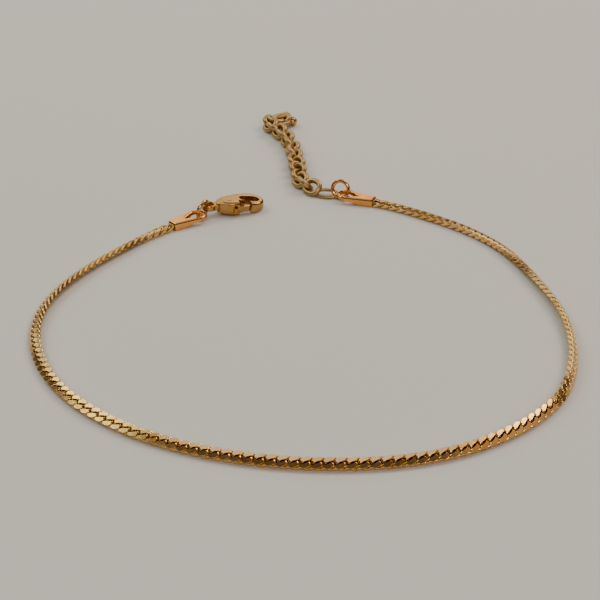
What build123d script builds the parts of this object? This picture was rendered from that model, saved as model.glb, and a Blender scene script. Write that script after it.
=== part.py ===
from build123d import *
import os
from math import asin, cos, sin, tan, radians

# Chain anklet lying unfastened: a flat curb chain with a crimped end clip on each
# end, two jump rings, a lobster clasp with a sprung lever, an extender chain and its
# small end drop.
#
# Millimetres, +Z up, everything rests on the plane Z = 0.  The origin is the centre
# of the anklet's bounding rectangle on that plane.  +Y runs from the middle of the
# loop towards the clasp and the extender.

os.makedirs("parts", exist_ok=True)

# ---------------------------------------------------------------- driving sizes
CHAIN_W = 1.50          # curb chain, across the flat
CHAIN_T = 1.05          # curb chain, through the flat
CHAIN_CORNER = 0.38     # rounding of its four long edges
EXT_W = 3.00            # extender chain, envelope of its links
EXT_T = 1.90
EXT_CORNER = 0.80
ARC_SHARE = 0.45        # share of the shorter run that a bend's tangent takes

CLIP_LENGTH = 6.70      # end clip, butt to the outside of its loop
CLIP_BUTT_W = 1.90      # width where the chain enters
CLIP_BUTT_H = 1.30      # height where the chain enters
CLIP_LOOP_R = 1.72      # outer radius of the loop
CLIP_BAR_W = 0.72       # the loop's strip, in plan
CLIP_BAR_T = 0.56       # the loop's strip, thickness
CLIP_LOOP_Z = 1.04      # height of the middle of the loop's strip
CLIP_POCKET = 1.75      # how deep the chain sits in the clip
CLIP_GAP = 0.06         # air between chain and clip
CLIP_FORK_AT = 2.70     # where the two prongs part
CLIP_FORK_R = 0.12
CLIP_EDGE = 0.30        # rounding of its top edges
CLIP_DIP_R = 0.80       # valley between the prongs' tips
CLIP_DIP_Z = 0.98       # its lowest line

RING_R = 1.42           # jump rings, to the middle of the wire
RING_WIRE = 0.64
RING_SEAM = 3.0         # degrees left open where the wire's ends meet

CLASP_T = 2.30          # lobster clasp, thickness at the rivet
CLASP_TIP_T = 1.54      # and at the hook's end
CLASP_EDGE = 0.42       # rounding of its outer edges
TAIL_U, TAIL_R = 2.40, 1.20         # outline, along the clasp from its eye
BELLY_U, BELLY_R = 4.00, 1.90
HOOK_U, HOOK_V, HOOK_R = 7.15, 0.45, 2.35
TAPER_U = 4.80          # from here to the end it thins down
END_U = HOOK_U + HOOK_R
EYE_R = 1.18            # its tail eye
EYE_HOLE_R = 0.80
EYE_T = 1.00
EYE_CORNER = 0.18
THROAT_U, THROAT_V, THROAT_R = 6.15, 0.40, 0.85     # opening of the hook
BIGHT_U, BIGHT_V, BIGHT_R = 7.60, 0.15, 1.08
MOUTH_FROM, MOUTH_TO, MOUTH_V = 4.85, 6.90, -0.45   # the mouth the lever closes
SLOT_T = 1.00           # slot that the lever turns in
LEVER_T = 0.90
PIVOT_U, PIVOT_V = 3.30, -0.75
LEVER_HUB_R = 0.75
SLOT_R = 0.85
PIN_R = 0.30
LEVER_BORE_R = 0.34
CHEEK_BORE_R = 0.32

DROP_R = 0.85           # end drop: largest radius
DROP_L = 2.15           # from the middle of its eye to its tip
DROP_EYE_R, DROP_EYE_HOLE_R, DROP_EYE_T = 0.50, 0.24, 0.44

# ---------------------------------------------------------------- routes, plan view
# Chain: from inside the clasp's clip, round the loop, into the extender's clip.
CHAIN_ROUTE = [
    # x, y
    (-20.06, 14.22), (-23.32, 11.57), (-28.46, 5.09), (-32.89, -1.03),
    (-36.67, -8.02), (-38.87, -15.48), (-39.04, -23.10), (-37.39, -30.62),
    (-34.29, -37.70), (-29.78, -43.93), (-24.14, -49.19), (-17.65, -53.30),
    (-10.57, -56.27), (-3.10, -58.11), (4.59, -58.79), (12.28, -58.32),
    (19.65, -56.28), (26.35, -52.41), (32.11, -47.15), (36.23, -40.78),
    (38.30, -33.41), (39.07, -25.66), (38.75, -18.04), (37.09, -10.58),
    (34.90, -3.05), (32.16, 4.28), (27.74, 10.57), (22.25, 15.56),
    (15.43, 20.73), (11.35, 22.64),
]
# Extender: from beside its jump ring to its last link.
EXT_ROUTE = [
    # x, y
    (4.85, 25.71), (2.05, 26.31), (0.25, 29.71), (-0.25, 33.71), (-0.50, 38.21),
    (-0.90, 42.81), (-1.75, 47.61), (-3.35, 51.91), (-5.25, 54.81),
    (-5.45, 56.81), (-4.15, 58.51),
]
# Where the end pieces lie: x, y, direction in degrees.
CLIP_CLASP_AT = (-20.99, 13.46, 39.0)   # middle of the butt, towards the loop
CLIP_EXT_AT = (12.44, 22.13, 155.0)
RING_CLASP_AT = (-16.06, 17.48, 57.0)   # middle, direction of the ring's plane
RING_EXT_AT = (6.89, 25.10, 157.0)
RING_CLASP_LEAN, RING_EXT_LEAN = -12.0, -14.0
CLASP_AT = (-15.18, 18.91, 16.5)        # middle of the eye, towards the hook
DROP_AT = (-2.50, 58.13, -4.0)          # middle of the drop's eye, towards its tip


def bend_radii(points):
    """One radius for each inner point of a route: its tangents take ARC_SHARE of
    the shorter of the two runs that meet there."""
    radii = []
    for a, b, c in zip(points, points[1:], points[2:]):
        before, after = Vector(*b) - Vector(*a), Vector(*c) - Vector(*b)
        half = radians(before.get_angle(after) / 2)
        radii.append(ARC_SHARE * min(before.length, after.length) / tan(half))
    return radii


def lying(at, height=0.0):
    """Plane for a piece that lies flat: local x along its direction, z up."""
    x, y, angle = at
    ahead = (cos(radians(angle)), sin(radians(angle)), 0)
    return Plane(origin=(x, y, height), x_dir=ahead, z_dir=(0, 0, 1))


def side_of(base):
    """The plane through base's local x and z, for sketches in (x, z)."""
    return Plane(origin=base.origin, x_dir=base.x_dir, z_dir=base.y_dir * -1)


def compare(name, part, line, section_area):
    """Print a swept piece's volume beside its section times its length."""
    length = sum(edge.length for edge in line.edges())
    print(f"{name}: volume {part.volume:.2f}, section x length "
          f"{section_area * length:.2f}, length {length:.2f}")


# ---------------------------------------------------------------- chain
chain_points = [(x, y, CHAIN_T / 2) for x, y in CHAIN_ROUTE]
chain_radii = bend_radii(chain_points)
with BuildPart() as chain:
    with BuildLine() as chain_line:
        FilletPolyline(*chain_points, radius=chain_radii)
    with BuildSketch(Plane(origin=chain_line.line @ 0, x_dir=(0, 0, 1),
                           z_dir=chain_line.line % 0)) as chain_section:
        RectangleRounded(CHAIN_T, CHAIN_W, CHAIN_CORNER)
    sweep(path=chain_line.line)
chain.part.label = "chain"
export_step(chain.part, "parts/chain.step")
print("chain radii", [round(r, 1) for r in chain_radii])
compare("chain", chain.part, chain_line.line, chain_section.sketch.area)

# ---------------------------------------------------------------- extender chain
extender_points = [(x, y, EXT_T / 2) for x, y in EXT_ROUTE]
extender_radii = bend_radii(extender_points)
with BuildPart() as extender_chain:
    with BuildLine() as extender_line:
        FilletPolyline(*extender_points, radius=extender_radii)
    with BuildSketch(Plane(origin=extender_line.line @ 0, x_dir=(0, 0, 1),
                           z_dir=extender_line.line % 0)) as extender_section:
        RectangleRounded(EXT_T, EXT_W, EXT_CORNER)
    sweep(path=extender_line.line)
extender_chain.part.label = "extender_chain"
export_step(extender_chain.part, "parts/extender_chain.step")
print("extender radii", [round(r, 1) for r in extender_radii])
compare("extender", extender_chain.part, extender_line.line,
        extender_section.sketch.area)


# ---------------------------------------------------------------- end clips
def end_clip(at):
    """Strip folded over the chain's end, running out in two prongs whose tips are
    joined by a lower bar, a raised loop for the ring."""
    base = lying(at)
    side = side_of(base)
    loop_x = CLIP_LENGTH - CLIP_LOOP_R
    low, top = CLIP_LOOP_Z - CLIP_BAR_T / 2, CLIP_LOOP_Z + CLIP_BAR_T / 2
    with BuildPart() as clip:
        with BuildSketch(base):
            with Locations((0.5, 0)):
                Rectangle(1.0, CLIP_BUTT_W)
            with Locations((loop_x, 0)):
                Circle(CLIP_LOOP_R)
            make_hull()
        extrude(amount=CLIP_BUTT_H)
        # the top runs down and the underside runs up to the loop's strip
        with BuildSketch(side):
            with BuildLine():
                Polyline((CLIP_POCKET, CLIP_BUTT_H), (loop_x, top),
                         (CLIP_LENGTH + 1, top), (CLIP_LENGTH + 1, 3),
                         (CLIP_POCKET, 3), close=True)
            make_face()
        extrude(amount=4, both=True, mode=Mode.SUBTRACT)
        with BuildSketch(side):
            with BuildLine():
                Polyline((CLIP_POCKET + 0.3, 0), (CLIP_POCKET + 1.4, low * 0.66),
                         (loop_x, low), (CLIP_LENGTH + 1, low),
                         (CLIP_LENGTH + 1, -1), (CLIP_POCKET + 0.3, -1), close=True)
            make_face()
        extrude(amount=4, both=True, mode=Mode.SUBTRACT)
        # the opening between the two prongs
        with BuildSketch(base):
            with Locations((loop_x, 0)):
                Circle(CLIP_LOOP_R - CLIP_BAR_W)
            with Locations((CLIP_FORK_AT + CLIP_FORK_R, 0)):
                Circle(CLIP_FORK_R)
            make_hull()
        extrude(amount=3, mode=Mode.SUBTRACT)
        tops = clip.faces().filter_by(lambda face: face.normal_at().Z > 0.9)
        fillet(tops.edges(), radius=CLIP_EDGE)
        # valley across the loop's far end, so that the prongs' tips stand apart
        with BuildSketch(Plane(origin=base.origin + base.x_dir * loop_x,
                               x_dir=base.y_dir, z_dir=base.x_dir)):
            with Locations((0, CLIP_DIP_Z + CLIP_DIP_R)):
                Circle(CLIP_DIP_R)
        extrude(amount=CLIP_LOOP_R + 1, mode=Mode.SUBTRACT)
        # channel that the chain's end lies in
        with BuildSketch(side):
            with Locations(((CLIP_POCKET - 1) / 2, (CHAIN_T + CLIP_GAP - 1) / 2)):
                Rectangle(CLIP_POCKET + 1, CHAIN_T + CLIP_GAP + 1)
        extrude(amount=CHAIN_W / 2 + CLIP_GAP, both=True, mode=Mode.SUBTRACT)
    return clip


clasp_end_clip = end_clip(CLIP_CLASP_AT)
clasp_end_clip.part.label = "clasp_end_clip"
export_step(clasp_end_clip.part, "parts/clasp_end_clip.step")

extender_end_clip = end_clip(CLIP_EXT_AT)
extender_end_clip.part.label = "extender_end_clip"
export_step(extender_end_clip.part, "parts/extender_end_clip.step")


# ---------------------------------------------------------------- jump rings
def jump_ring(at, lean, seam_turn):
    """Round wire bent to a standing ring, its ends almost touching."""
    upright = lying(at, RING_R * cos(radians(lean)) + RING_WIRE / 2)
    up = upright.z_dir * cos(radians(lean)) + upright.y_dir * sin(radians(lean))
    ring_plane = Plane(origin=upright.origin, x_dir=upright.x_dir,
                       z_dir=upright.x_dir.cross(up))
    spoke = (ring_plane.x_dir * cos(radians(seam_turn))
             + ring_plane.y_dir * sin(radians(seam_turn)))
    with BuildPart() as ring:
        with BuildSketch(Plane(origin=ring_plane.origin + spoke * RING_R,
                               x_dir=spoke, z_dir=spoke.cross(ring_plane.z_dir))):
            Circle(RING_WIRE / 2)
        revolve(axis=Axis(ring_plane.origin, ring_plane.z_dir),
                revolution_arc=360 - RING_SEAM)
    return ring


clasp_ring = jump_ring(RING_CLASP_AT, RING_CLASP_LEAN, 100)
clasp_ring.part.label = "clasp_ring"
export_step(clasp_ring.part, "parts/clasp_ring.step")

extender_ring = jump_ring(RING_EXT_AT, RING_EXT_LEAN, 60)
extender_ring.part.label = "extender_ring"
export_step(extender_ring.part, "parts/extender_ring.step")

# ---------------------------------------------------------------- lobster clasp
# Its underside thins towards the hook and lies flat on Z = 0 there, so its middle
# plane dips from the eye, held up by its ring, to the hook's end.
taper = (CLASP_T - CLASP_TIP_T) / 2 / (END_U - TAPER_U)
dip = asin(taper / (1 + taper * taper) ** 0.5)
eye_height = CLASP_T / 2 * cos(dip) + TAPER_U * sin(dip) + 0.005
clasp_base = lying(CLASP_AT, eye_height)
clasp_mid = Plane(
    origin=clasp_base.origin,
    x_dir=clasp_base.x_dir * cos(dip) - clasp_base.z_dir * sin(dip),
    z_dir=clasp_base.x_dir * sin(dip) + clasp_base.z_dir * cos(dip),
)
clasp_side = side_of(clasp_mid)

with BuildPart() as clasp_body:
    with BuildSketch(clasp_mid.offset(-CLASP_T / 2)):
        with Locations((TAIL_U, 0)):
            Circle(TAIL_R)
        with Locations((BELLY_U, 0)):
            Circle(BELLY_R)
        with Locations((HOOK_U, HOOK_V)):
            Circle(HOOK_R)
        make_hull()
    extrude(amount=CLASP_T)
    # thinner towards the hook's end, above and below
    with BuildSketch(clasp_side):
        with BuildLine():
            Polyline((TAPER_U, CLASP_T / 2), (END_U + 1, CLASP_TIP_T / 2 - taper),
                     (END_U + 1, 3), (TAPER_U, 3), close=True)
        make_face()
        mirror(about=Plane.XZ)
    extrude(amount=5, both=True, mode=Mode.SUBTRACT)
    fillet(clasp_body.edges(), radius=CLASP_EDGE)
    # and at the tail
    with BuildSketch(clasp_side):
        with BuildLine():
            Polyline((0, EYE_T / 2 + 0.1), (1.2, EYE_T / 2 + 0.1),
                     (2.4, CLASP_T / 2 + 0.02), (0, CLASP_T / 2 + 0.02), close=True)
        make_face()
        mirror(about=Plane.XZ)
    extrude(amount=5, both=True, mode=Mode.SUBTRACT)
    # tail eye
    with BuildSketch(clasp_mid.offset(-EYE_T / 2)):
        with Locations((1.30, 0)):
            Rectangle(1.0, 1.5)
    extrude(amount=EYE_T)
    with BuildSketch(clasp_mid.offset(-EYE_T)):
        Circle(EYE_HOLE_R)
    extrude(amount=2 * EYE_T, mode=Mode.SUBTRACT)
    with BuildSketch(clasp_side):
        with Locations(((EYE_R + EYE_HOLE_R) / 2, 0)):
            RectangleRounded(EYE_R - EYE_HOLE_R, EYE_T, EYE_CORNER)
    revolve(axis=Axis(clasp_mid.origin, clasp_mid.z_dir), revolution_arc=360)
    # the hook's opening and the mouth on the lever's side
    with BuildSketch(clasp_mid.offset(-CLASP_T)):
        with Locations((THROAT_U, THROAT_V)):
            Circle(THROAT_R)
        with Locations((BIGHT_U, BIGHT_V)):
            Circle(BIGHT_R)
        make_hull()
    extrude(amount=2 * CLASP_T, mode=Mode.SUBTRACT)
    with BuildSketch(clasp_mid.offset(-CLASP_T)):
        with Locations(((MOUTH_FROM + MOUTH_TO) / 2, MOUTH_V - 1.5)):
            Rectangle(MOUTH_TO - MOUTH_FROM, 3.0)
    extrude(amount=2 * CLASP_T, mode=Mode.SUBTRACT)
    # slot for the lever, and the rivet's holes
    with BuildSketch(clasp_mid.offset(-SLOT_T / 2)):
        with Locations((PIVOT_U, PIVOT_V)):
            Circle(SLOT_R)
        with Locations(((PIVOT_U + THROAT_U) / 2, -1.35)):
            Rectangle(THROAT_U - PIVOT_U, 3.3)
    extrude(amount=SLOT_T, mode=Mode.SUBTRACT)
    with BuildSketch(clasp_mid.offset(-CLASP_T)):
        with Locations((PIVOT_U, PIVOT_V)):
            Circle(CHEEK_BORE_R)
    extrude(amount=2 * CLASP_T, mode=Mode.SUBTRACT)
clasp_body.part.label = "clasp_body"
export_step(clasp_body.part, "parts/clasp_body.step")

# lever: hub, arm across the mouth, thumb nub
LEVER_WEB = [
    # u, v, radius of the two discs that each web joins
    ((PIVOT_U, PIVOT_V, LEVER_HUB_R), (4.45, -1.30, 0.50)),
    ((4.45, -1.30, 0.50), (6.36, -1.40, 0.40)),
    ((4.25, -1.45, 0.42), (4.05, -2.38, 0.34)),
]
with BuildPart() as clasp_lever:
    for (u1, v1, r1), (u2, v2, r2) in LEVER_WEB:
        with BuildSketch(clasp_mid.offset(-LEVER_T / 2)):
            with Locations((u1, v1)):
                Circle(r1)
            with Locations((u2, v2)):
                Circle(r2)
            make_hull()
        extrude(amount=LEVER_T)
    with BuildSketch(clasp_mid.offset(-LEVER_T)):
        with Locations((PIVOT_U, PIVOT_V)):
            Circle(LEVER_BORE_R)
    extrude(amount=2 * LEVER_T, mode=Mode.SUBTRACT)
clasp_lever.part.label = "clasp_lever"
export_step(clasp_lever.part, "parts/clasp_lever.step")

with BuildPart() as clasp_pin:
    with BuildSketch(clasp_mid.offset(-CLASP_T / 2 + 0.03)):
        with Locations((PIVOT_U, PIVOT_V)):
            Circle(PIN_R)
    extrude(amount=CLASP_T - 0.06)
    chamfer(clasp_pin.edges().filter_by(GeomType.CIRCLE), length=0.05)
clasp_pin.part.label = "clasp_pin"
export_step(clasp_pin.part, "parts/clasp_pin.step")

# ---------------------------------------------------------------- end drop
drop_base = lying(DROP_AT, DROP_R)
with BuildPart() as end_drop:
    with BuildSketch(drop_base):
        with Locations((DROP_L - DROP_R, 0)):
            Circle(DROP_R)
        with Locations((DROP_EYE_R, 0)):
            Circle(0.24)
        make_hull()
        with Locations((DROP_L / 2, -2)):
            Rectangle(DROP_L * 2, 4, mode=Mode.SUBTRACT)
    revolve(axis=Axis(drop_base.origin, drop_base.x_dir), revolution_arc=360)
    with BuildSketch(drop_base.offset(-DROP_EYE_T / 2)):
        Circle(DROP_EYE_R)
    extrude(amount=DROP_EYE_T)
    with BuildSketch(drop_base.offset(-DROP_EYE_T)):
        Circle(DROP_EYE_HOLE_R)
    extrude(amount=2 * DROP_EYE_T, mode=Mode.SUBTRACT)
end_drop.part.label = "end_drop"
export_step(end_drop.part, "parts/end_drop.step")

# ---------------------------------------------------------------- printout
pieces = [chain, clasp_end_clip, extender_end_clip, clasp_ring, extender_ring,
          clasp_body, clasp_lever, clasp_pin, extender_chain, end_drop]
box = Compound(children=[piece.part for piece in pieces]).bounding_box()
print("box", [round(v, 3) for v in (*box.min, *box.max)])
pivot = clasp_mid.from_local_coords((PIVOT_U, PIVOT_V, 0))
print("lever axis through", [round(v, 4) for v in pivot],
      "along", [round(v, 5) for v in clasp_mid.z_dir])
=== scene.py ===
import math
import random

import bmesh
import bpy
import numpy as np
from mathutils import Matrix, Vector


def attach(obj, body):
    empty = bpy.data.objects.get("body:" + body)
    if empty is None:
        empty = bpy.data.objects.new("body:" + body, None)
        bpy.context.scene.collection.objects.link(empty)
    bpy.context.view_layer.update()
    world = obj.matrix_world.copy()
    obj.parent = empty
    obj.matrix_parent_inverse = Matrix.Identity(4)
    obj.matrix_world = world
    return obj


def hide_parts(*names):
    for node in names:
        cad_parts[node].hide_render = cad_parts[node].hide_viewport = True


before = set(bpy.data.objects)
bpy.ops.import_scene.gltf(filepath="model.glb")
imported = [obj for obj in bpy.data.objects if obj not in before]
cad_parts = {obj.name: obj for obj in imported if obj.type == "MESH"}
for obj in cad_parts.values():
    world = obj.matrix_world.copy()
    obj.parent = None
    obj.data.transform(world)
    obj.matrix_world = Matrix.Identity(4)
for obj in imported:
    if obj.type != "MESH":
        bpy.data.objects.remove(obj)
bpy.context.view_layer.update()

MM = 0.001
rng = random.Random(7)

# ------------------------------------------------------------------ the routes
# The same points as the CAD routes, in millimetres.
CHAIN_ROUTE = [
    (-20.06, 14.22), (-23.32, 11.57), (-28.46, 5.09), (-32.89, -1.03),
    (-36.67, -8.02), (-38.87, -15.48), (-39.04, -23.10), (-37.39, -30.62),
    (-34.29, -37.70), (-29.78, -43.93), (-24.14, -49.19), (-17.65, -53.30),
    (-10.57, -56.27), (-3.10, -58.11), (4.59, -58.79), (12.28, -58.32),
    (19.65, -56.28), (26.35, -52.41), (32.11, -47.15), (36.23, -40.78),
    (38.30, -33.41), (39.07, -25.66), (38.75, -18.04), (37.09, -10.58),
    (34.90, -3.05), (32.16, 4.28), (27.74, 10.57), (22.25, 15.56),
    (15.43, 20.73), (11.35, 22.64),
]
EXT_ROUTE = [
    (4.85, 25.71), (2.05, 26.31), (0.25, 29.71), (-0.25, 33.71), (-0.50, 38.21),
    (-0.90, 42.81), (-1.75, 47.61), (-3.35, 51.91), (-5.25, 54.81),
    (-5.45, 56.81), (-4.15, 58.51),
]
CHAIN_W, CHAIN_T = 1.50, 1.05
LINK_PITCH = 1.50


def read_route(name, points, z):
    """Points along the NURBS spline of a route, read from a curve with no bevel."""
    curve = bpy.data.curves.new(name, "CURVE")
    curve.dimensions = "3D"
    spline = curve.splines.new("NURBS")
    spline.points.add(len(points) - 1)
    for at, (x, y) in zip(spline.points, points):
        at.co = (x * MM, y * MM, z * MM, 1.0)
    spline.order_u = 3
    spline.use_endpoint_u = True
    spline.resolution_u = 24
    holder = bpy.data.objects.new(name, curve)
    bpy.context.scene.collection.objects.link(holder)
    bpy.context.view_layer.update()
    mesh = bpy.data.meshes.new_from_object(
        holder.evaluated_get(bpy.context.evaluated_depsgraph_get()))
    line = np.array([tuple(v.co) for v in mesh.vertices]) / MM
    bpy.data.objects.remove(holder)
    bpy.data.meshes.remove(mesh)
    bpy.data.curves.remove(curve)
    return line


class Route:
    """A flat route with position, tangent and left normal at any length along it."""

    def __init__(self, line):
        self.line = line[:, :2]
        steps = np.linalg.norm(np.diff(self.line, axis=0), axis=1)
        keep = np.r_[True, steps > 1e-6]
        self.line = self.line[keep]
        steps = np.linalg.norm(np.diff(self.line, axis=0), axis=1)
        self.at = np.r_[0.0, np.cumsum(steps)]
        self.length = self.at[-1]
        tangent = np.gradient(self.line, self.at, axis=0)
        self.tangent = tangent / np.linalg.norm(tangent, axis=1, keepdims=True)

    def frame(self, s):
        s = np.asarray(s, float)
        inside = np.clip(s, 0.0, self.length)
        point = np.stack([np.interp(inside, self.at, self.line[:, k]) for k in (0, 1)], -1)
        tangent = np.stack([np.interp(inside, self.at, self.tangent[:, k]) for k in (0, 1)], -1)
        tangent /= np.linalg.norm(tangent, axis=-1, keepdims=True)
        point = point + (s - inside)[..., None] * tangent
        left = np.stack([-tangent[..., 1], tangent[..., 0]], -1)
        return point, tangent, left


def new_piece(name, verts, faces, material, body="anklet", smooth=True,
              sharp=None, replaces=None):
    mesh = bpy.data.meshes.new(name)
    mesh.from_pydata([tuple(v) for v in np.asarray(verts) * MM], [], faces)
    mesh.update()
    piece = bpy.data.objects.new(name, mesh)
    bpy.context.scene.collection.objects.link(piece)
    mesh.materials.append(material)
    if smooth:
        mesh.polygons.foreach_set("use_smooth", [True] * len(mesh.polygons))
        if sharp is not None:
            mesh.set_sharp_from_angle(angle=math.radians(sharp))
    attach(piece, body)
    if replaces:
        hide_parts(*replaces)
    return piece


# ------------------------------------------------------------------ materials
def gold(name, colour, deep, rough=(0.16, 0.30), scratch=0.35, scale=1.0, painted_recess_shade=None):
    """Plated metal: the plating's colour shifts a little in patches, its gloss is
    uneven from handling, and fine polishing lines run over it."""
    material = bpy.data.materials.new(name)
    material.use_nodes = True
    tree = material.node_tree
    tree.nodes.clear()
    out = tree.nodes.new("ShaderNodeOutputMaterial")
    shader = tree.nodes.new("ShaderNodeBsdfPrincipled")
    tree.links.new(shader.outputs["BSDF"], out.inputs["Surface"])
    shader.inputs["Metallic"].default_value = 1.0
    where = tree.nodes.new("ShaderNodeTexCoord")

    def noise(size, detail, roughness=0.5):
        node = tree.nodes.new("ShaderNodeTexNoise")
        node.inputs["Scale"].default_value = 1000.0 * scale / size
        node.inputs["Detail"].default_value = detail
        node.inputs["Roughness"].default_value = roughness
        tree.links.new(where.outputs["Object"], node.inputs["Vector"])
        return node

    patches = noise(2.4, 3.0)
    ramp = tree.nodes.new("ShaderNodeValToRGB")
    ramp.color_ramp.elements[0].position = 0.36
    ramp.color_ramp.elements[1].position = 0.62
    ramp.color_ramp.elements[0].color = (*deep, 1)
    ramp.color_ramp.elements[1].color = (*colour, 1)
    tree.links.new(patches.outputs["Fac"], ramp.inputs["Fac"])
    colour_from = ramp.outputs["Color"]
    if painted_recess_shade:
        # painted shade: the base colour is mixed towards a dark brown down between the links,
        # where shade falls
        painted_shade_mask = tree.nodes.new("ShaderNodeAttribute")
        painted_shade_mask.attribute_name = "painted_recess_shade"
        mix = tree.nodes.new("ShaderNodeMix")
        mix.data_type = "RGBA"
        mix.inputs["B"].default_value = (*painted_recess_shade, 1)
        tree.links.new(painted_shade_mask.outputs["Fac"], mix.inputs["Factor"])
        tree.links.new(colour_from, mix.inputs["A"])
        colour_from = mix.outputs["Result"]
    tree.links.new(colour_from, shader.inputs["Base Color"])

    gloss = noise(0.9, 4.0, 0.6)
    spread = tree.nodes.new("ShaderNodeMapRange")
    spread.inputs["From Min"].default_value = 0.3
    spread.inputs["From Max"].default_value = 0.7
    spread.inputs["To Min"].default_value = rough[0]
    spread.inputs["To Max"].default_value = rough[1]
    tree.links.new(gloss.outputs["Fac"], spread.inputs["Value"])
    tree.links.new(spread.outputs["Result"], shader.inputs["Roughness"])

    fine = noise(0.11, 2.0, 0.7)
    bump = tree.nodes.new("ShaderNodeBump")
    bump.inputs["Strength"].default_value = scratch
    bump.inputs["Distance"].default_value = 0.012 * MM
    tree.links.new(fine.outputs["Fac"], bump.inputs["Height"])
    tree.links.new(bump.outputs["Normal"], shader.inputs["Normal"])
    return material


# the chain's last colour is painted shade for the hollows between the links
CHAIN_GOLD = gold("chain_gold_plate", (0.84, 0.585, 0.28), (0.76, 0.49, 0.205),
                  rough=(0.16, 0.28), painted_recess_shade=(0.14, 0.055, 0.018))
BRIGHT_GOLD = gold("bright_gold_plate", (0.88, 0.48, 0.19), (0.78, 0.39, 0.13),
                   rough=(0.12, 0.22))
RING_GOLD = gold("ring_gold_plate", (0.82, 0.51, 0.27), (0.70, 0.40, 0.18),
                 rough=(0.14, 0.24))
CLASP_GOLD = gold("clasp_gold_plate", (0.60, 0.37, 0.165), (0.49, 0.28, 0.11),
                  rough=(0.16, 0.27))
PALE_GOLD = gold("pale_gold_plate", (0.61, 0.43, 0.235), (0.50, 0.34, 0.165),
                 rough=(0.34, 0.48))
DROP_GOLD = gold("drop_gold_plate", (0.74, 0.46, 0.22), (0.64, 0.38, 0.17),
                 rough=(0.18, 0.28))

NODE_MATERIAL = {
    "clasp_end_clip": BRIGHT_GOLD, "extender_end_clip": BRIGHT_GOLD,
    "clasp_ring": RING_GOLD, "extender_ring": RING_GOLD,
    "clasp_body": CLASP_GOLD, "clasp_lever": CLASP_GOLD, "clasp_pin": CLASP_GOLD,
    "end_drop": DROP_GOLD,
}
for node, material in NODE_MATERIAL.items():
    piece = bpy.data.objects[node]
    for slot in piece.material_slots:
        slot.material = material

# ------------------------------------------------------------------ curb links
# One link's centre line is a twisted oval. Its wire is a flattened bar that keeps
# its broad face outwards, and the link is ground flat to the chain's width and height.
LINK_W, LINK_T = 1.68, 0.96
LINK_A, LINK_B, LINK_C = 1.28, 0.59, 0.29
WIRE_BROAD, WIRE_DEEP, WIRE_SQUARE = 0.34, 0.31, 2.5
ROOF = math.radians(9)


def unit(rows):
    return rows / np.linalg.norm(rows, axis=-1, keepdims=True)


def power(values, p):
    return np.sign(values) * np.abs(values) ** p


def curb_link(around=32, ring=16):
    """Points, faces, which faces are ground flat, and the edges round them."""
    fine = np.linspace(0, 2 * np.pi, 720, endpoint=False)
    line = np.stack([LINK_A * np.cos(fine), LINK_B * np.sin(fine),
                     -LINK_C * power(np.sin(2 * fine), 0.6)], -1)
    window = np.hanning(61) / np.hanning(61).sum()
    line = np.stack([np.convolve(np.tile(line[:, k], 3), window, "same")[720:1440]
                     for k in range(3)], -1)
    run = np.r_[0, np.cumsum(np.linalg.norm(np.diff(line, axis=0), axis=1))]
    whole = run[-1] + np.linalg.norm(line[0] - line[-1])
    at = whole * np.arange(around) / around

    def sample(column, s):
        return np.interp(np.mod(s, whole), np.r_[run, whole], np.r_[column, column[0]])

    centre = np.stack([sample(line[:, k], at) for k in range(3)], -1)
    ahead = unit(np.stack([sample(line[:, k], at + 0.01 * whole)
                           - sample(line[:, k], at - 0.01 * whole) for k in range(3)], -1))
    turn = sample(np.r_[fine], at)
    turn[0] = 0.0
    sine, double = np.sin(turn), np.sin(2 * turn)
    out = np.stack([0.20 * np.cos(turn), 0.55 * sine * np.abs(sine),
                    -power(double, 0.5)], -1)
    out = unit(out - (out * ahead).sum(1, keepdims=True) * ahead)
    side = np.cross(ahead, out)
    mesh = bmesh.new()
    rings = []
    for c, o, s in zip(centre, out, side):
        row = []
        for k in range(ring):
            angle = 2 * np.pi * (k + 0.5) / ring
            u = power(np.cos(angle), 2 / WIRE_SQUARE)
            v = power(np.sin(angle), 2 / WIRE_SQUARE)
            row.append(mesh.verts.new(c + WIRE_DEEP * u * o + WIRE_BROAD * v * s))
        rings.append(row)
    for i in range(around):
        a, b = rings[i], rings[(i + 1) % around]
        for k in range(ring):
            mesh.faces.new((a[k], b[k], b[(k + 1) % ring], a[(k + 1) % ring]))
    # the broad faces are ground to a low roof, each row of leaves on its own slope
    planes = [(Vector((0, 1, 0)), LINK_W / 2), (Vector((0, -1, 0)), LINK_W / 2)]
    for row in (1, -1):
        for face in (1, -1):
            slope = Vector((0, row * math.sin(ROOF), face * math.cos(ROOF)))
            planes.append((slope, LINK_T / 2 * math.cos(ROOF) + 0.19 * math.sin(ROOF)))
    for normal, limit in planes:
        geometry = mesh.verts[:] + mesh.edges[:] + mesh.faces[:]
        cut = bmesh.ops.bisect_plane(mesh, geom=geometry, plane_co=normal * limit,
                                     plane_no=normal, clear_outer=True)
        edges = [e for e in cut["geom_cut"] if isinstance(e, bmesh.types.BMEdge)]
        if edges:
            bmesh.ops.holes_fill(mesh, edges=edges, sides=0)
    bmesh.ops.remove_doubles(mesh, verts=mesh.verts, dist=1e-4)
    bmesh.ops.recalc_face_normals(mesh, faces=mesh.faces)
    bmesh.ops.triangulate(mesh, faces=[f for f in mesh.faces if len(f.verts) > 4])
    mesh.normal_update()

    def ground(face):
        middle, normal = face.calc_center_median(), face.normal
        return any(abs(middle.dot(n) - k) < 2e-4 and normal.dot(n) > 0.9995
                   for n, k in planes)

    mesh.verts.ensure_lookup_table()
    verts = np.array([tuple(v.co) for v in mesh.verts])
    faces = [[v.index for v in f.verts] for f in mesh.faces]
    flat = [ground(f) for f in mesh.faces]
    rims = {tuple(sorted(v.index for v in e.verts)) for e in mesh.edges
            if sum(ground(f) for f in e.link_faces) == 1}
    mesh.free()
    return verts, faces, flat, rims


def ease(x, low, high):
    t = np.clip((x - low) / (high - low), 0.0, 1.0)
    return t * t * (3 - 2 * t)


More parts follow.
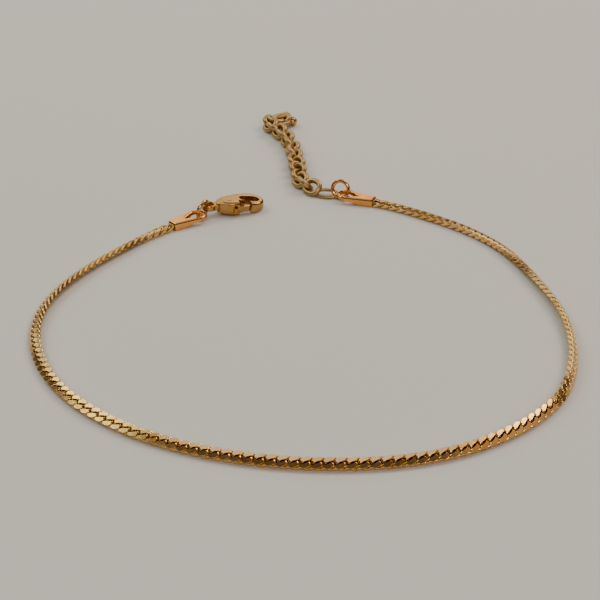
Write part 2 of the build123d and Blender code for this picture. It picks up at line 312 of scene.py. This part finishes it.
# How far the chain leans outwards, along its length.
CHAIN_ROLL = [
    # share of its length, degrees
    (0.000, 0), (0.014, 2), (0.045, 26), (0.120, 34), (0.185, 44), (0.215, 44),
    (0.250, 32), (0.350, 29), (0.615, 29), (0.640, 38), (0.670, 66), (0.740, 64),
    (0.770, 58), (0.830, 34), (0.880, 12), (0.930, 3), (1.000, 0),
]


def chain_roll(share):
    """The chain leans outwards round most of the loop, lies flat where it enters
    the clips, and stands nearly on edge at the right."""
    shares, degrees = zip(*CHAIN_ROLL)
    near = share + np.linspace(-0.02, 0.02, 9) * min(1.0, share / 0.02)
    return float(np.mean(np.interp(near, shares, degrees)))


chain_route = Route(read_route("chain_route", CHAIN_ROUTE, CHAIN_T / 2))
link_verts, link_faces, link_flat, link_rims = curb_link()
count = int((chain_route.length - 2 * LINK_A - 0.7) / LINK_PITCH) + 1
span = (count - 1) * LINK_PITCH
centres = (chain_route.length - span) / 2 + LINK_PITCH * np.arange(count)
chain_verts, chain_faces = [], []
for n, s in enumerate(centres):
    roll = math.radians(chain_roll(s / chain_route.length))
    y = math.cos(roll) * link_verts[:, 1] - math.sin(roll) * link_verts[:, 2]
    z = math.sin(roll) * link_verts[:, 1] + math.cos(roll) * link_verts[:, 2]
    point, _, left = chain_route.frame(s + link_verts[:, 0])
    chain_verts.append(np.c_[point + y[:, None] * left, z - z.min()])
    base = n * len(link_verts)
    chain_faces += [[base + k for k in face] for face in link_faces]
# The chain's two ends are soldered solid where the clips hold them.
solder = np.array([(s, y, z) for s in (0.10, 1.42) for y in (-0.72, 0.72)
                   for z in (0.02, 1.03)])
box = [(0, 1, 3, 2), (4, 6, 7, 5), (0, 4, 5, 1), (2, 3, 7, 6), (0, 2, 6, 4), (1, 5, 7, 3)]
for end in (0, 1):
    s = solder[:, 0] if end == 0 else chain_route.length - solder[:, 0]
    point, _, left = chain_route.frame(s)
    base = sum(len(v) for v in chain_verts)
    chain_verts.append(np.c_[point + solder[:, 1:2] * left, solder[:, 2]])
    chain_faces += [[base + k for k in (face if end == 0 else face[::-1])] for face in box]
chain_verts = np.vstack(chain_verts)
curb = new_piece("curb_links", chain_verts, chain_faces, CHAIN_GOLD,
                 replaces=["chain"])
curb.data.polygons.foreach_set("use_smooth",
                               [not k for k in link_flat] * count + [False] * 2 * len(box))
for edge in curb.data.edges:
    a, b = edge.vertices
    base = a // len(link_verts) * len(link_verts)
    if (min(a, b) - base, max(a, b) - base) in link_rims:
        edge.use_edge_sharp = True
# painted shade: each link's colour darkens from its outer surface towards its inside, and the
# soldered ends get a fixed share of it
depth = np.hypot(link_verts[:, 1] / 0.78, link_verts[:, 2] / 0.45)
shade = curb.data.attributes.new("painted_recess_shade", "FLOAT", "POINT")
shade.data.foreach_set("value", np.r_[np.tile(1 - ease(depth, 0.45, 0.95), count),
                                      np.full(2 * len(solder), 0.35)].astype(np.float32))
print("curb links", count, "triangles each", sum(len(f) - 2 for f in link_faces),
      "route", round(float(chain_route.length), 2))

# ------------------------------------------------------------------ extender links
OVAL_L, OVAL_W, OVAL_WIRE = 3.80, 3.25, 0.90


def oval_link(length=OVAL_L, width=OVAL_W, wire=OVAL_WIRE, around=44, ring=12):
    """A round-wire oval link in its own x-y plane."""
    turn = np.linspace(0, 2 * np.pi, around, endpoint=False)
    a, b = (length - wire) / 2, (width - wire) / 2
    line = np.stack([a * power(np.cos(turn), 0.86), b * power(np.sin(turn), 0.86),
                     0 * turn], -1)
    ahead = unit(np.roll(line, -1, 0) - np.roll(line, 1, 0))
    out = np.cross(ahead, [0, 0, 1.0])
    verts, faces = [], []
    for c, o in zip(line, out):
        for k in range(ring):
            angle = 2 * np.pi * k / ring
            verts.append(c + wire / 2 * (np.cos(angle) * o
                                         + np.sin(angle) * np.array([0, 0, 1.0])))
    for i in range(around):
        for k in range(ring):
            j, m = (i + 1) % around, (k + 1) % ring
            faces.append([i * ring + k, j * ring + k, j * ring + m, i * ring + m])
    return np.array(verts), faces


def placed_link(verts, x, y, yaw, roll, pitch=0.0, lift=0.0):
    """Rolled about its length, pitched, turned about the vertical, set on the floor."""
    turn = (Matrix.Rotation(math.radians(yaw), 3, "Z")
            @ Matrix.Rotation(math.radians(-pitch), 3, "Y")
            @ Matrix.Rotation(math.radians(roll), 3, "X"))
    placed = verts @ np.array(turn).T
    return placed + [x, y, lift - placed[:, 2].min()]


ext_route = Route(read_route("extender_route", EXT_ROUTE, 0.95))
body_link = oval_link()
first_link = oval_link(4.20, 2.60, 0.58)
last_link = oval_link(1.90, 1.50, 0.40)
# Hook points, where one link holds the next: down the extender, bunched up from
# side to side near its start, then round the heap in which its end has curled up.
STRAIGHT_GAPS = [2.0] * 2 + [1.683] * 6 + [2.0] * 7
BUNCHED = range(3, 8)
hooks = []
for n, s in enumerate(2.1 + np.cumsum([0.0] + STRAIGHT_GAPS)):
    point, _, left = ext_route.frame(s)
    aside = (0.35 if n % 2 else -0.35) if n in BUNCHED else 0.0
    hooks.append(tuple(point + aside * left))
HEAP = [
    # x, y of the hook, then roll and lift of the link that ends there
    (-5.00, 54.60, 40, 0.0), (-5.50, 56.40, -38, 0.0), (-4.90, 58.05, 34, 0.0),
    (-3.30, 58.75, -34, 0.0), (-2.60, 57.30, 30, 0.3), (-3.90, 56.50, -24, 0.6),
    (-4.75, 57.60, 14, 0.9),
]
links = [(first_link, (4.55, 25.95), -13.0, 14.0, 0.0)]
for n, ((x0, y0), (x1, y1)) in enumerate(zip(hooks, hooks[1:])):
    yaw = math.degrees(math.atan2(y1 - y0, x1 - x0))
    roll = (42 if n % 2 else -42) + rng.uniform(-8, 8)
    links.append((body_link, ((x0 + x1) / 2, (y0 + y1) / 2),
                  yaw + rng.uniform(-4, 4), roll, 0.0))
x0, y0 = hooks[-1]
for x1, y1, roll, lift in HEAP:
    yaw = math.degrees(math.atan2(y1 - y0, x1 - x0))
    links.append((body_link, ((x0 + x1) / 2, (y0 + y1) / 2), yaw, roll, lift))
    x0, y0 = x1, y1
links.append((last_link, (-3.24, 58.18), -4.0, 90.0, 0.10))
all_verts, all_faces, base = [], [], 0
for (verts, faces), (x, y), yaw, roll, lift in links:
    all_verts.append(placed_link(verts, x, y, yaw, roll, lift=lift))
    all_faces += [[base + k for k in face] for face in faces]
    base += len(verts)
new_piece("extender_links", np.vstack(all_verts), all_faces, PALE_GOLD,
          replaces=["extender_chain"])
print("extender links", len(links), "route", round(float(ext_route.length), 2))

# ------------------------------------------------------------------ floor and light
floor_mesh = bpy.data.meshes.new("floor")
floor_mesh.from_pydata([(-3, -3, 0), (3, -3, 0), (3, 6, 0), (-3, 6, 0)], [], [(0, 1, 2, 3)])
floor = bpy.data.objects.new("floor", floor_mesh)
bpy.context.scene.collection.objects.link(floor)
floor_material = bpy.data.materials.new("floor_paper")
floor_material.use_nodes = True
paper = floor_material.node_tree.nodes["Principled BSDF"]
paper.inputs["Base Color"].default_value = (0.86, 0.86, 0.87, 1)
paper.inputs["Roughness"].default_value = 0.9
paper.inputs["Specular IOR Level"].default_value = 0.1
floor_mesh.materials.append(floor_material)

world = bpy.data.worlds.new("studio")
bpy.context.scene.world = world
world.use_nodes = True
world.node_tree.nodes["Background"].inputs["Color"].default_value = (1.0, 0.80, 0.70, 1)
world.node_tree.nodes["Background"].inputs["Strength"].default_value = 0.11


def softbox(name, azimuth, elevation, size, radiance, colour=(1, 1, 1), distance=0.8):
    """A soft box round the anklet; azimuth 0 is behind it, 90 to its right."""
    az, el = math.radians(azimuth), math.radians(elevation)
    at = distance * Vector((math.cos(el) * math.sin(az), math.cos(el) * math.cos(az),
                            math.sin(el)))
    light = bpy.data.lights.new(name, "AREA")
    light.shape = "RECTANGLE"
    light.size, light.size_y = size
    light.energy = radiance * math.pi * size[0] * size[1]
    light.color = colour
    lamp = bpy.data.objects.new(name, light)
    lamp.location = at
    lamp.rotation_euler = (-at).to_track_quat("-Z", "Y").to_euler()
    bpy.context.scene.collection.objects.link(lamp)
    return lamp


softbox("window", 0, 20, (0.64, 0.28), 1.0, (1.0, 0.91, 0.78))
softbox("left_window", -34, 17, (0.34, 0.28), 0.9, (0.91, 1.0, 0.80))
softbox("left_box", -60, 44, (0.62, 0.34), 1.9, (0.91, 1.0, 0.80))
softbox("right_box", 46, 44, (0.46, 0.34), 3.0, (1.0, 0.89, 0.66))
softbox("right_fill", 88, 46, (0.40, 0.40), 0.42, (1.0, 0.70, 0.48))
softbox("right_low", 83, 23, (0.36, 0.16), 0.5, (1.0, 0.78, 0.54))
softbox("top_box", 0, 78, (0.60, 0.50), 0.72, (0.97, 0.98, 1.0))
softbox("front_fill", 176, 33, (0.66, 0.09), 6.0, (1.0, 0.95, 0.90))
softbox("sparkle", 160, 34, (0.10, 0.10), 8.0, (1.0, 0.95, 0.92))
bpy.context.scene.view_settings.look = "AgX - Medium High Contrast"

# ------------------------------------------------------------------ camera
TILT, ROLL = math.radians(27.7), math.radians(0.55)
right = Vector((1, 0, 0))
up = Vector((0, math.sin(TILT), math.cos(TILT)))
back = Vector((0, -math.cos(TILT), math.sin(TILT)))
cam_right = math.cos(ROLL) * right - math.sin(ROLL) * up
cam_up = math.sin(ROLL) * right + math.cos(ROLL) * up
camera = bpy.data.objects.new("camera", bpy.data.cameras.new("camera"))
camera.data.lens = 106.92
camera.data.sensor_width = 36.0
camera.data.clip_start = 0.01
camera.matrix_world = Matrix((
    (cam_right.x, cam_up.x, back.x, -0.15 * MM),
    (cam_right.y, cam_up.y, back.y, -250.79 * MM),
    (cam_right.z, cam_up.z, back.z, 125.418 * MM),
    (0, 0, 0, 1)))
bpy.context.scene.collection.objects.link(camera)
bpy.context.scene.camera = camera
